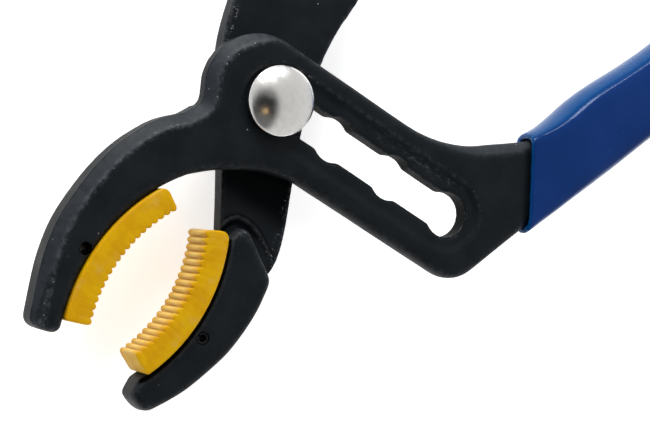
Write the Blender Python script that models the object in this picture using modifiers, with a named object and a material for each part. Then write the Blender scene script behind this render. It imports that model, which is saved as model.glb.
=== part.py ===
"""Soft-jaw slip-joint pliers: two forged levers, toothed plastic jaw inserts, a pivot bolt that steps
along a slot with four seats, and dipped plastic grips.

Frame: the origin is on the pivot axis, in the plane that the bolt's end rests on. +X runs along the slot,
in the direction that widens the jaws, +Y runs towards the handle ends and +Z towards the bolt's head.
Lengths are in millimetres and angles in degrees, and MM turns them into Blender's metres.
"""

import math

import bmesh
import bpy
from mathutils import Vector

MM = 0.001
GAP = 0.3
PIN_GAP = 0.15

# Pivot stack, from the resting plane upwards.
BOLT_END = 0.0
NUT_LOW = 0.7
NUT_HEIGHT = 4.3
NUT_ACROSS_FLATS = 13.0
LOCK_WASHER_THICKNESS = 1.4
LOCK_WASHER_RADIUS = 6.6
LAP_THICKNESS = 6.0
SPRING_WASHER_THICKNESS = 1.2
SPRING_WASHER_RADIUS = 7.5
HEAD_RADIUS = 8.0
HEAD_RIM = 0.7
HEAD_HEIGHT = 3.5
SHANK_RADIUS = 5.0
SHANK_FLATS = 8.0
THREAD_RADIUS = 3.9
BOLT_CHAMFER = 0.3

NUT_HIGH = NUT_LOW + NUT_HEIGHT
LOCK_WASHER_LOW = NUT_HIGH + GAP
REAR_BACK = LOCK_WASHER_LOW + LOCK_WASHER_THICKNESS + GAP
REAR_FACE = REAR_BACK + LAP_THICKNESS
FRONT_BACK = REAR_FACE + GAP
FRONT_FACE = FRONT_BACK + LAP_THICKNESS
SPRING_WASHER_LOW = FRONT_FACE + GAP
HEAD_LOW = SPRING_WASHER_LOW + SPRING_WASHER_THICKNESS + GAP
LAP_PLANE = (REAR_FACE + FRONT_BACK) / 2

# Slot of the front lever: a narrow way for the bolt's flats, with round seats for its shank.
SLOT_WIDTH = 8.4
SEAT_RADIUS = 5.3
SEAT_PITCH = 16.8
SEAT_COUNT = 4

# Jaws. Each insert is a ring sector with a toothed inner side and a tongue that sits in a groove.
JAW_THICKNESS = 9.6
JAW_OFFSET = 1.1
INSERT_LENGTH = 38.3
INSERT_DEPTH = 5.75
INSERT_WIDTH = 11.6
TOOTH_COUNT = 20
TOOTH_DEPTH = 0.7
STEPS_PER_TOOTH = 4
TONGUE_WIDTH = 4.6
TONGUE_DEPTH = 5.6
TONGUE_SETBACK = 7.0
PIN_RADIUS = 1.35
PIN_BORE = 0.85

FRONT_JAW_LOW = FRONT_FACE - JAW_THICKNESS
REAR_JAW_LOW = FRONT_JAW_LOW - JAW_OFFSET
REAR_JAW_HIGH = FRONT_FACE - JAW_OFFSET
INSERT_MIDDLE = (FRONT_JAW_LOW + REAR_JAW_HIGH) / 2
FRONT_PIN_RECESS = 2.6

# Handles. A knot is (x, y, width, lowest z, highest z) of the grip's outside. The tang inside it is the
# same shape drawn in by the grip's wall. A mouth is (x, y, angle) of the slanted line that cuts a grip off.
# Both sides bulge: they are half ellipses that reach sideways by a share of half the grip's height.
GRIP_WALL = 1.3
GRIP_BULGE = 0.5
LEAST_BULGE = 1.5
GRIP_END_WALL = 3.0
TANG_OVERLAP = 1.0
SECTION_STEP = 20
DOME_LENGTH = 7.0
FRONT_MOUTH = (66.0, 17.0, -61.5)
FRONT_HANDLE = [
    (58.2, 6.5, 23.6, 12.1, 20.2),
    (66.4, 19.3, 21.0, 12.1, 20.2),
    (70.9, 26.5, 19.8, 9.9, 20.1),
    (74.8, 33.7, 19.8, 6.9, 19.9),
    (78.7, 42.2, 20.1, 6.7, 19.7),
    (88.2, 61.4, 18.5, 6.9, 19.7),
    (99.6, 87.9, 17.8, 6.9, 19.7),
    (107.4, 116.5, 18.0, 6.9, 19.7),
    (112.0, 147.0, 17.0, 7.1, 19.5),
]
REAR_MOUTH = (-5.4, 42.0, -14.0)
REAR_HANDLE = [
    (-6.0, 32.0, 24.0, 5.8, 14.2),
    (-5.4, 42.0, 21.6, 5.8, 14.2),
    (-4.9, 51.0, 19.8, 5.9, 14.4),
    (-4.6, 59.0, 19.6, 6.3, 18.0),
    (-4.2, 67.0, 19.3, 6.6, 19.4),
    (-2.9, 91.6, 18.2, 6.6, 19.4),
    (0.4, 121.5, 18.0, 6.6, 19.4),
    (6.7, 150.9, 18.2, 6.6, 19.4),
    (14.8, 175.9, 17.0, 6.8, 19.2),
]

FORGING_ROUND = 1.6
ARM_HALF_WIDTH = 13.0
FRONT_HUB = (-4.4, 0.0)
ELBOW_RADIUS = 34.5
HEEL_RADIUS = 8.0
ARM_ROUND = 2.4
ARM_INSET = 0.1
MILLED_TO = 36.0

# Cutters reach well past the pliers.
FAR = 400.0
CUT_LOW = -20.0
CUT_HIGH = 60.0


class Jaw:
    """The arc that one insert is seated on: its centre, its radius and the direction of its middle."""

    def __init__(self, name, centre, radius, middle, pin_depth, pin_angle):
        self.name = name
        self.centre = centre
        self.radius = radius
        self.middle = middle
        self.half_span = math.degrees(INSERT_LENGTH / 2 / radius)
        self.seat = radius + GAP
        self.pin = on_circle(centre, radius + pin_depth, pin_angle)


def on_circle(centre, radius, angle):
    return (
        centre[0] + radius * math.cos(math.radians(angle)),
        centre[1] + radius * math.sin(math.radians(angle)),
    )


FRONT_JAW = Jaw("front", (23.4, -53.5), 43.2, 172.25, 2.0, 176.8)
REAR_JAW = Jaw("rear", (-31.8, -48.9), 41.0, -0.85, 3.4, -7.1)


# ---------------------------------------------------------------- outlines

def arc(centre, radius, start, end, steps=8):
    """Points along a circle from one angle to another, both ends included."""
    return [on_circle(centre, radius, start + (end - start) * step / steps) for step in range(steps + 1)]


def smooth(knots, steps=4):
    """Points along a Catmull-Rom curve through the knots, both ends included."""
    padded = [knots[0], *knots, knots[-1]]
    points = []
    for before, start, end, after in zip(padded, padded[1:], padded[2:], padded[3:]):
        for step in range(steps):
            t = step / steps
            weights = (
                (-t + 2 * t * t - t ** 3) / 2,
                (2 - 5 * t * t + 3 * t ** 3) / 2,
                (t + 4 * t * t - 3 * t ** 3) / 2,
                (t ** 3 - t * t) / 2,
            )
            corners = (before, start, end, after)
            points.append(tuple(sum(w * v for w, v in zip(weights, values)) for values in zip(*corners)))
    points.append(knots[-1])
    return points


def fillet(before, corner, after, radius, steps=5):
    """Points along the arc that rounds one corner of an outline."""
    back = math.atan2(before[1] - corner[1], before[0] - corner[0])
    ahead = math.atan2(after[1] - corner[1], after[0] - corner[0])
    half = math.remainder(ahead - back, math.tau) / 2
    reach = radius / math.tan(abs(half))
    middle = back + half
    distance = radius / math.sin(abs(half))
    centre = (corner[0] + distance * math.cos(middle), corner[1] + distance * math.sin(middle))
    first = (corner[0] + reach * math.cos(back), corner[1] + reach * math.sin(back))
    last = (corner[0] + reach * math.cos(ahead), corner[1] + reach * math.sin(ahead))
    start = math.atan2(first[1] - centre[1], first[0] - centre[0])
    turn = math.remainder(math.atan2(last[1] - centre[1], last[0] - centre[0]) - start, math.tau)
    return arc(centre, radius, math.degrees(start), math.degrees(start + turn), steps)


def on_mouth(mouth, along):
    return on_circle(mouth[:2], along, mouth[2])


def ring_sector(centre, inner, outer, middle, half_span, steps=16):
    return (
        arc(centre, outer, middle - half_span, middle + half_span, steps)
        + arc(centre, inner, middle + half_span, middle - half_span, steps)
    )


def front_lever_outline():
    mouth_left = on_mouth(FRONT_MOUTH, -10.8)
    mouth_right = on_mouth(FRONT_MOUTH, 9.8)
    hub = arc(FRONT_HUB, ARM_HALF_WIDTH, 90, 196, 12)
    notch = fillet(hub[-1], (-14.3, -9.3), (-17.0, -13.6), 3.4, 3)
    back_of_jaw = smooth([
        (-17.0, -13.6), (-22.5, -19.4), (-27.7, -30.8), (-29.9, -45.5), (-28.8, -56.2), (-25.9, -65.6),
    ])
    tip_corner = (-23.9, -71.4)
    tip_inner_corner = (-17.0, -69.8)
    seat = arc(FRONT_JAW.centre, FRONT_JAW.seat, 198.9, 139.0, 18)
    tip = fillet(back_of_jaw[-1], tip_corner, tip_inner_corner, 2.6)
    tip += fillet(tip_corner, tip_inner_corner, seat[0], 1.9)
    throat = smooth([seat[-1], (-4.7, -21.0), (0.3, -17.9), (5.6, -15.2), (13.5, -ARM_HALF_WIDTH)])[1:]
    heel = fillet(throat[-1], (61.0, -ARM_HALF_WIDTH), mouth_right, HEEL_RADIUS)
    elbow = arc((31.0, ARM_HALF_WIDTH + ELBOW_RADIUS), ELBOW_RADIUS, -52, -90, 10)
    jaw = back_of_jaw[:-1] + tip + seat
    arm = heel + [mouth_right, mouth_left] + elbow
    return hub + notch + jaw + throat + arm


def front_lap_relief_outline():
    """The region whose back is milled away so that the rear lever can pass behind it."""
    return [
        (-FAR, FAR),
        (-FAR, -9.0),
        (-15.0, -9.0),
        (-9.5, -25.0),
        (-6.0, -FAR),
        (FAR, -FAR),
        (FAR, FAR),
    ]


def slot_outline():
    """Both edges of the slot: narrow straights between round seats."""
    reach = math.degrees(math.asin(SLOT_WIDTH / 2 / SEAT_RADIUS))
    lower = []
    for seat in range(SEAT_COUNT):
        start = 180 if seat == 0 else 180 + reach
        end = 360 if seat == SEAT_COUNT - 1 else 360 - reach
        lower += arc((seat * SEAT_PITCH, 0), SEAT_RADIUS, start, end, 10)
    upper = [(x, -y) for x, y in reversed(lower[1:-1])]
    return lower + upper


def rear_jaw_outline():
    seat = arc(REAR_JAW.centre, REAR_JAW.seat, -29.5, 23.0, 16)
    hump_corner = (8.0, -26.6)
    shoulder_corner = (20.7, -35.0)
    hump = fillet(seat[-1], hump_corner, shoulder_corner, 2.4)
    back = smooth([(21.2, -41.3), (21.0, -47.3), (19.8, -54.3), (17.7, -60.4), (15.0, -66.6), (12.0, -71.5)])
    shoulder = fillet(hump_corner, shoulder_corner, back[0], 3.0, 4)
    tip_corner = (9.3, -75.3)
    tip_inner_corner = (4.2, -73.6)
    tip = fillet(back[-1], tip_corner, tip_inner_corner, 2.4)
    tip += fillet(tip_corner, tip_inner_corner, seat[0], 2.0)
    return seat + hump + shoulder + back[:-1] + tip


def rear_body_outline():
    """Neck, hub and upper arm of the rear lever, in one bar that crosses behind the slot."""
    mouth_left = on_mouth(REAR_MOUTH, -9.6)
    mouth_right = on_mouth(REAR_MOUTH, 9.6)
    right = smooth([
        (19.6, -38.0), (20.9, -31.3), (19.6, -24.2), (15.4, -13.1), (11.0, -1.0), (7.7, 12.0),
        (6.8, 21.5), (7.5, 31.0), (7.0, 35.0), mouth_right,
    ])
    left = smooth([
        mouth_left, (-17.6, 33.0), (-19.4, 24.0), (-18.7, 15.5), (-15.5, 4.5), (-9.1, -6.5),
        (-1.2, -19.2), (5.3, -30.7),
    ])
    return right + left + [(11.0, -38.0), (16.5, -40.0)]


# ---------------------------------------------------------------- objects

def reset_scene():
    for item in list(bpy.data.objects):
        bpy.data.objects.remove(item)


def new_collection(name):
    collection = bpy.data.collections.new(name)
    bpy.context.scene.collection.children.link(collection)
    return collection


def add_object(name, data, collection):
    item = bpy.data.objects.new(name, data)
    collection.objects.link(item)
    return item


def weld(mesh):
    shape = bmesh.new()
    shape.from_mesh(mesh)
    bmesh.ops.remove_doubles(shape, verts=shape.verts, dist=0.01 * MM)
    bmesh.ops.dissolve_degenerate(shape, edges=shape.edges, dist=0.005 * MM)
    bmesh.ops.recalc_face_normals(shape, faces=shape.faces)
    shape.to_mesh(mesh)
    shape.free()


def mesh_from_curve(curve_object):
    """The curve as a welded mesh object with the same name and place; the curve is removed."""
    name = curve_object.name
    collection = curve_object.users_collection[0]
    evaluated = curve_object.evaluated_get(bpy.context.evaluated_depsgraph_get())
    mesh = bpy.data.meshes.new_from_object(evaluated)
    place = curve_object.matrix_world.copy()
    bpy.data.objects.remove(curve_object)
    weld(mesh)
    item = add_object(name, mesh, collection)
    item.matrix_world = place
    return item


def plate(name, outline, low, high, rounding=0.0, collection=None, inset=0.0):
    """A flat outline between two heights, with both rims rounded when a rounding is given.

    An inset draws every side in, so that the plate lies wholly inside one with the same outline.
    """
    curve = bpy.data.curves.new(name, "CURVE")
    curve.dimensions = "2D"
    spline = curve.splines.new("POLY")
    spline.points.add(len(outline) - 1)
    for point, (x, y) in zip(spline.points, outline):
        point.co = (x * MM, y * MM, 0, 1)
    spline.use_cyclic_u = True
    curve.fill_mode = "BOTH"
    curve.extrude = ((high - low) / 2 - inset - rounding) * MM
    curve.bevel_depth = rounding * MM
    curve.bevel_resolution = 1
    curve.offset = -(rounding + inset) * MM
    item = add_object(name, curve, collection or tools)
    item.location.z = (low + high) / 2 * MM
    bpy.context.view_layer.update()
    return mesh_from_curve(item)


def block(name, least_y, low):
    """Everything above a height and past a line across the pliers, for cutting."""
    return plate(name, [(-FAR, least_y), (FAR, least_y), (FAR, FAR), (-FAR, FAR)], low, CUT_HIGH)


def cylinder(name, x, y, low, high, radius, collection=None, vertices=32):
    mesh = bpy.data.meshes.new(name)
    shape = bmesh.new()
    bmesh.ops.create_cone(
        shape, cap_ends=True, segments=vertices,
        radius1=radius * MM, radius2=radius * MM, depth=(high - low) * MM,
    )
    shape.to_mesh(mesh)
    shape.free()
    item = add_object(name, mesh, collection or tools)
    item.location = (x * MM, y * MM, (low + high) / 2 * MM)
    return item


def turned(name, profile, collection, steps=40):
    """A profile of (radius, height) points, top to bottom, turned about the pivot axis."""
    mesh = bpy.data.meshes.new(name)
    points = [(radius * MM, 0, height * MM) for radius, height in profile]
    edges = [(index, index + 1) for index in range(len(points) - 1)]
    mesh.from_pydata(points, edges, [])
    item = add_object(name, mesh, collection)
    screw = item.modifiers.new("turn", "SCREW")
    screw.steps = steps
    screw.render_steps = steps
    screw.use_merge_vertices = True
    screw.merge_threshold = 0.01 * MM
    return item


def combine(target, other, operation):
    """Joins, cuts or intersects with a shape that is only a tool afterwards."""
    modifier = target.modifiers.new(other.name, "BOOLEAN")
    modifier.operation = operation
    modifier.object = other
    other.hide_render = True
    other.display_type = "WIRE"
    return target


def cut(target, *others):
    for other in others:
        combine(target, other, "DIFFERENCE")
    return target


def join(target, *others):
    for other in others:
        combine(target, other, "UNION")
    return target


# ---------------------------------------------------------------- handles

def section(width, low, high, inset):
    """(sideways, height) points with a flat top and bottom, and half an ellipse on each side."""
    middle = (low + high) / 2
    half = (high - low) / 2
    bulge = max(GRIP_BULGE * half - inset, LEAST_BULGE)
    flat = width / 2 - inset - bulge
    points = []
    for side, start in ((1, -90), (-1, 90)):
        for angle in range(start, start + 181, SECTION_STEP):
            sideways, up = on_circle((0, 0), 1, angle)
            points.append((side * flat + bulge * sideways, middle + (half - inset) * up))
    return points


def shrunk(outline, share):
    """The outline drawn in towards its own middle."""
    low = min(up for _, up in outline)
    high = max(up for _, up in outline)
    middle = (low + high) / 2
    return [(sideways * share, middle + (up - middle) * share) for sideways, up in outline]


def handle_stations(knots, inset, end_wall):
    """(x, y, heading, section) at steps along the handle, the last of them shrunk to a dome."""
    stations = smooth(knots, 3)
    lengths = [0.0]
    for before, after in zip(stations, stations[1:]):
        lengths.append(lengths[-1] + math.dist(before[:2], after[:2]))
    total = lengths[-1] - end_wall
    dome = DOME_LENGTH - inset
    places = [place for place in lengths if place < total - dome]
    places += [total - dome * (1 - math.sin(math.radians(angle))) for angle in (0, 30, 50, 65, 77, 86)]
    result = []
    for place in places:
        index = next(i for i in range(1, len(lengths)) if lengths[i] >= place or i == len(lengths) - 1)
        share = (place - lengths[index - 1]) / (lengths[index] - lengths[index - 1])
        values = [a + (b - a) * share for a, b in zip(stations[index - 1], stations[index])]
        x, y, width, low, high = values
        heading = math.atan2(
            stations[index][1] - stations[index - 1][1], stations[index][0] - stations[index - 1][0]
        )
        past = max(0.0, place - (total - dome)) / dome
        outline = shrunk(section(width, low, high, inset), math.sqrt(max(0.0, 1 - past * past)))
        result.append((x, y, heading, outline))
    return result


def handle_bar(name, knots, inset, end_wall, collection=None):
    """A loft through sections that change in width, height and level along the handle."""
    rings = []
    for x, y, heading, outline in handle_stations(knots, inset, end_wall):
        right = Vector((math.sin(heading), -math.cos(heading), 0))
        rings.append([(Vector((x, y, z)) + side * right) * MM for side, z in outline])
    shape = bmesh.new()
    rows = [[shape.verts.new(point) for point in ring] for ring in rings]
    for before, after in zip(rows, rows[1:]):
        for index in range(len(before)):
            following = (index + 1) % len(before)
            shape.faces.new((before[index], before[following], after[following], after[index]))
    shape.faces.new(rows[0])
    shape.faces.new(reversed(rows[-1]))
    bmesh.ops.recalc_face_normals(shape, faces=shape.faces)
    mesh = bpy.data.meshes.new(name)
    shape.to_mesh(mesh)
    shape.free()
    weld(mesh)
    return add_object(name, mesh, collection or tools)


def before_mouth(name, mouth, gap):
    """A block on the pivot's side of a grip's mouth, for cutting; a gap moves it into the grip."""
    angle = math.radians(mouth[2])
    back = (math.sin(angle), -math.cos(angle))
    corners = []
    for along, depth in ((-60, -gap), (60, -gap), (60, 90), (-60, 90)):
        x, y = on_mouth(mouth, along)
        corners.append((x + back[0] * depth, y + back[1] * depth))
    return plate(name, corners, CUT_LOW, CUT_HIGH)


def make_tang(name, knots, mouth):
    tang = handle_bar(name, knots, GRIP_WALL + GAP, GRIP_END_WALL + GAP)
    return cut(tang, before_mouth(name + "_start", mouth, -TANG_OVERLAP))


def make_grip(name, knots, mouth):
    grip = handle_bar(name, knots, 0, 0, parts)
    hollow = handle_bar(name + "_hollow", knots, GRIP_WALL, GRIP_END_WALL)
    return cut(grip, hollow, before_mouth(name + "_mouth", mouth, GAP))


# ---------------------------------------------------------------- pieces

def tongue_plate(name, jaw, clearance):
    """The insert's tongue, or with a clearance the groove that it sits in."""
    half_span = jaw.half_span - TONGUE_SETBACK + math.degrees(clearance / jaw.radius)
    outer = jaw.radius + TONGUE_DEPTH + clearance
    outline = ring_sector(jaw.centre, jaw.radius - 1, outer, jaw.middle, half_span)
    half_width = TONGUE_WIDTH / 2 + clearance
    return plate(name, outline, INSERT_MIDDLE - half_width, INSERT_MIDDLE + half_width)


def seat_plate(name, jaw):
    """The space that is milled out for an insert's body."""
    clearance = math.degrees(2 * GAP / jaw.radius)
    outline = ring_sector(jaw.centre, jaw.radius - 9, jaw.seat, jaw.middle, jaw.half_span + clearance)
    return plate(name, outline, CUT_LOW, CUT_HIGH)


def pin_hole(name, jaw):
    return cylinder(name, *jaw.pin, CUT_LOW, CUT_HIGH, PIN_RADIUS + PIN_GAP, vertices=20)


def make_front_lever():
    lever = plate("front_lever", front_lever_outline(), FRONT_JAW_LOW, FRONT_FACE, FORGING_ROUND, parts)
    relief = plate("front_lap_relief", front_lap_relief_outline(), CUT_LOW, FRONT_BACK)
    slot = plate("slot", slot_outline(), CUT_LOW, CUT_HIGH)
    cut(lever, relief, slot)
    join(lever, make_tang("front_tang", FRONT_HANDLE, FRONT_MOUTH))
    return cut(lever, tongue_plate("front_groove", FRONT_JAW, GAP), pin_hole("front_pin_hole", FRONT_JAW))


def make_rear_lever():
    """A forged bar whose lap face is milled flat round the hub, with the thick jaw on its end."""
    outline = rear_body_outline()
    lever = plate("rear_lever", outline, REAR_BACK, REAR_FACE, ARM_ROUND, parts, ARM_INSET)
    milled = plate("rear_milled", outline, REAR_BACK, REAR_FACE + 2 * FORGING_ROUND, FORGING_ROUND)
    cut(milled, block("rear_lap", -FAR, REAR_FACE), block("rear_arm", MILLED_TO, CUT_LOW))
    jaw = plate("rear_jaw", rear_jaw_outline(), REAR_JAW_LOW, REAR_JAW_HIGH, FORGING_ROUND)
    join(lever, milled, jaw, make_tang("rear_tang", REAR_HANDLE, REAR_MOUTH))
    keyhole = plate("keyhole", keyhole_outline(), CUT_LOW, CUT_HIGH)
    groove = tongue_plate("rear_groove", REAR_JAW, GAP)
    pin = pin_hole("rear_pin_hole", REAR_JAW)
    return cut(lever, seat_plate("rear_seat", REAR_JAW), groove, pin, keyhole)


def keyhole_outline():
    """A circle with two flats parallel to the slot, a little larger than the bolt's shank."""
    radius = SHANK_RADIUS + PIN_GAP
    flat = math.degrees(math.asin((SHANK_FLATS / 2 + PIN_GAP) / radius))
    return arc((0, 0), radius, -flat, flat, 12) + arc((0, 0), radius, 180 - flat, 180 + flat, 12)


def make_insert(jaw):
    """The insert's outline has a wavy inner side; its tongue is a narrower ring sector behind it."""
    name = jaw.name + "_jaw_insert"
    steps = TOOTH_COUNT * STEPS_PER_TOOTH
    outline = arc(jaw.centre, jaw.radius, jaw.middle - jaw.half_span, jaw.middle + jaw.half_span, 16)
    for step in range(steps + 1):
        wave = (1 - math.cos(math.tau * step / STEPS_PER_TOOTH)) / 2
        radius = jaw.radius - INSERT_DEPTH + TOOTH_DEPTH * wave
        outline.append(on_circle(jaw.centre, radius, jaw.middle + jaw.half_span * (1 - 2 * step / steps)))
    half_width = INSERT_WIDTH / 2
    insert = plate(name, outline, INSERT_MIDDLE - half_width, INSERT_MIDDLE + half_width, 0, parts)
    join(insert, tongue_plate(name + "_tongue", jaw, 0))
    return cut(insert, pin_hole(name + "_drill", jaw))


def make_roll_pin(jaw, low, high):
    """A rolled spring pin: a tube with a slit along it."""
    outer = arc(jaw.pin, PIN_RADIUS, 190, 530, 20)
    inner = arc(jaw.pin, PIN_BORE, 530, 190, 20)
    return plate(jaw.name + "_insert_pin", outer + inner, low, high, 0, parts)


def make_bolt():
    """Domed head, double-D shank and a plain stand-in for the thread, all turned, with the flats cut."""
    dome_radius = (HEAD_RADIUS ** 2 + (HEAD_HEIGHT - HEAD_RIM) ** 2) / 2 / (HEAD_HEIGHT - HEAD_RIM)
    dome_centre = HEAD_LOW + HEAD_HEIGHT - dome_radius
    profile = [(0, HEAD_LOW + HEAD_HEIGHT)]
    for step in range(1, 8):
        radius = HEAD_RADIUS * step / 8
        profile.append((radius, dome_centre + math.sqrt(dome_radius ** 2 - radius ** 2)))
    profile += [
        (HEAD_RADIUS, HEAD_LOW + HEAD_RIM),
        (HEAD_RADIUS - BOLT_CHAMFER, HEAD_LOW),
        (SHANK_RADIUS, HEAD_LOW),
        (SHANK_RADIUS, REAR_BACK + GAP),
        (THREAD_RADIUS, REAR_BACK + GAP),
        (THREAD_RADIUS, BOLT_END + BOLT_CHAMFER),
        (THREAD_RADIUS - BOLT_CHAMFER, BOLT_END),
        (0, BOLT_END),
    ]
    bolt = turned("pivot_bolt", profile, parts)
    past_shank = SHANK_RADIUS + 1
    for side in (-1, 1):
        near = side * SHANK_FLATS / 2
        far = side * past_shank
        outline = [(-past_shank, near), (past_shank, near), (past_shank, far), (-past_shank, far)]
        cut(bolt, plate("shank_flat", outline, REAR_BACK, HEAD_LOW))
    return bolt


def make_nut():
    corners = arc((0, 0), NUT_ACROSS_FLATS / math.sqrt(3), 0, 300, 5)
    nut = plate("pivot_nut", corners, NUT_LOW, NUT_HIGH, 0, parts)
    bore = cylinder("nut_bore", 0, 0, CUT_LOW, CUT_HIGH, THREAD_RADIUS + PIN_GAP)
    return cut(nut, bore)


def make_spring_washer():
    high = SPRING_WASHER_LOW + SPRING_WASHER_THICKNESS
    washer = cylinder("spring_washer", 0, 0, SPRING_WASHER_LOW, high, SPRING_WASHER_RADIUS, parts, 40)
    bore = cylinder("washer_bore", 0, 0, CUT_LOW, CUT_HIGH, SHANK_RADIUS + GAP, vertices=40)
    return cut(washer, bore)


def make_lock_washer():
    """A flat ring that is split on the side of the slot."""
    half_split = 8
    outer = arc((0, 0), LOCK_WASHER_RADIUS, half_split, 360 - half_split, 30)
    inner = arc((0, 0), THREAD_RADIUS + GAP, 360 - half_split, half_split, 30)
    high = LOCK_WASHER_LOW + LOCK_WASHER_THICKNESS
    return plate("lock_washer", outer + inner, LOCK_WASHER_LOW, high, 0, parts)


# ---------------------------------------------------------------- materials

def paint(item, name, color, roughness, metallic):
    material = bpy.data.materials.get(name) or bpy.data.materials.new(name)
    material.use_nodes = True
    shader = material.node_tree.nodes["Principled BSDF"]
    shader.inputs["Base Color"].default_value = (*color, 1)
    shader.inputs["Roughness"].default_value = roughness
    shader.inputs["Metallic"].default_value = metallic
    item.data.materials.clear()
    item.data.materials.append(material)
    item.data.shade_smooth()
    item.data.set_sharp_from_angle(angle=math.radians(30))


def anchor(name, height, children):
    """An empty on the pivot axis that carries the pieces of one moving body."""
    empty = add_object(name, None, parts)
    empty.location.z = height * MM
    bpy.context.view_layer.update()
    for child in children:
        child.parent = empty
        child.matrix_parent_inverse = empty.matrix_world.inverted()
    return empty


reset_scene()
parts = new_collection("soft_jaw_pliers")
tools = new_collection("cutters")

front_lever = make_front_lever()
rear_lever = make_rear_lever()
front_grip = make_grip("front_grip", FRONT_HANDLE, FRONT_MOUTH)
rear_grip = make_grip("rear_grip", REAR_HANDLE, REAR_MOUTH)
front_insert = make_insert(FRONT_JAW)
rear_insert = make_insert(REAR_JAW)
front_pin = make_roll_pin(FRONT_JAW, FRONT_JAW_LOW + GAP, FRONT_FACE - FRONT_PIN_RECESS)
rear_pin = make_roll_pin(REAR_JAW, REAR_JAW_LOW + GAP, REAR_JAW_HIGH - GAP)
bolt = make_bolt()
nut = make_nut()
spring_washer = make_spring_washer()
lock_washer = make_lock_washer()

for steel in (front_lever, rear_lever):
    paint(steel, "black_steel", (0.014, 0.018, 0.021), 0.5, 0.4)
for grip in (front_grip, rear_grip):
    paint(grip, "blue_vinyl", (0.015, 0.09, 0.42), 0.35, 0.0)
for insert in (front_insert, rear_insert):
    paint(insert, "yellow_nylon", (0.8, 0.42, 0.01), 0.45, 0.0)
for pin in (front_pin, rear_pin):
    paint(pin, "pin_steel", (0.03, 0.03, 0.03), 0.4, 0.9)
for fastener in (bolt, nut, spring_washer, lock_washer):
    paint(fastener, "nickel_plate", (0.65, 0.64, 0.6), 0.3, 1.0)

anchor("pivot_on_the_slot", SPRING_WASHER_LOW, [spring_washer])
anchor("pivot_axis", LAP_PLANE, [rear_lever, rear_grip, rear_insert, rear_pin, bolt, nut, lock_washer])
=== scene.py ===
import math

import bmesh
import bpy
import numpy as np
from mathutils import Euler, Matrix, Vector, kdtree, noise


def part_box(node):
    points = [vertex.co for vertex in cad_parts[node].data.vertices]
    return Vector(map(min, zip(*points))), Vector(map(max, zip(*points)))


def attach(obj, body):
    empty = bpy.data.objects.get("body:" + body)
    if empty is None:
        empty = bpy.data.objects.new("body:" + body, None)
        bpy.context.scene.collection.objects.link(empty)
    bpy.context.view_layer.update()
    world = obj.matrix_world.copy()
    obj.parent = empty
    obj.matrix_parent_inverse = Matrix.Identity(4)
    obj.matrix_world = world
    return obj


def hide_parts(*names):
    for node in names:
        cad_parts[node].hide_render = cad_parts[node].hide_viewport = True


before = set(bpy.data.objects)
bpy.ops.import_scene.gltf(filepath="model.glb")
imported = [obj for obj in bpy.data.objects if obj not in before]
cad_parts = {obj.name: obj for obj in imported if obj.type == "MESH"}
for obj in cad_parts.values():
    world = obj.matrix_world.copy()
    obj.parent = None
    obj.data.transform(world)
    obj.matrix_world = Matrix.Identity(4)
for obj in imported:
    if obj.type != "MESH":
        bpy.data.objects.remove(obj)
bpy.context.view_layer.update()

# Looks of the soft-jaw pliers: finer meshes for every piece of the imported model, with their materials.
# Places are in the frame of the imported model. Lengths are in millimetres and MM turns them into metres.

MM = 0.001
WELD = 0.001 * MM

# What the CAD part is built from and its boxes don't tell. A mouth is (x, y, turn in degrees).
GAP = 0.3
TIGHT_GAP = 0.15
FRONT_MOUTH = (66.0, 17.0, -61.5)
REAR_MOUTH = (-5.4, 42.0, -14.0)
SLOT_LENGTH = 50.4
TOOTH_COUNT = 20
INSERT_LENGTH = 38.3
INSERT_DEPTH = 5.75
SHANK_RADIUS = 5.0
SHANK_FLATS = 8.0
PIN_RADIUS = 1.35
PIN_BORE = 0.85
THREAD_RADIUS = 3.9
THREAD_PITCH = 1.25
LAP_THICKNESS = 6.0

FRONT = "front_lever"
REAR = "rear_lever"
CARRIAGE = "pivot_carriage"


def low(node, axis=2):
    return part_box(node)[0][axis] / MM


def high(node, axis=2):
    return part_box(node)[1][axis] / MM


FRONT_FACE = low("spring_washer") - GAP
REAR_BACK = low("rear_lever")
REAR_FACE = REAR_BACK + LAP_THICKNESS
SLOT_LINE = ((0, 0), (SLOT_LENGTH, 0))


# ---------------------------------------------------------------- numbers

def smoothstep(start, end, value):
    share = np.clip((value - start) / (end - start), 0, 1)
    return share * share * (3 - 2 * share)


def hump(value, middle, width):
    return np.exp(-((value - middle) / width) ** 2)


def on_circle(centre, radius, angle):
    return (
        centre[0] + radius * math.cos(math.radians(angle)),
        centre[1] + radius * math.sin(math.radians(angle)),
    )


def to_place(points, place):
    """Distance of each point to a place, seen from above."""
    return np.hypot(points[:, 0] - place[0], points[:, 1] - place[1])


def to_segment(points, start, end):
    """Distance of each point to a line between two places, seen from above."""
    start, end = np.array(start), np.array(end)
    along = end - start
    share = np.clip(((points[:, :2] - start) @ along) / (along @ along), 0, 1)
    return np.hypot(*(points[:, :2] - start - share[:, None] * along).T)


def to_path(points, path):
    return np.min([to_segment(points, start, end) for start, end in zip(path, path[1:])], axis=0)


class Jaw:
    """The arc that one insert is seated on, as in the CAD part."""

    def __init__(self, centre, radius, middle, pin_depth, pin_angle):
        self.centre = centre
        self.radius = radius
        self.middle = middle
        self.half_span = math.degrees(INSERT_LENGTH / 2 / radius)
        self.pin = on_circle(centre, radius + pin_depth, pin_angle)


JAWS = {
    "front": Jaw((23.4, -53.5), 43.2, 172.25, 2.0, 176.8),
    "rear": Jaw((-31.8, -48.9), 41.0, -0.85, 3.4, -7.1),
}


# ---------------------------------------------------------------- meshes

def read_points(mesh):
    flat = np.empty(len(mesh.vertices) * 3)
    mesh.vertices.foreach_get("co", flat)
    return flat.reshape(-1, 3) / MM


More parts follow.
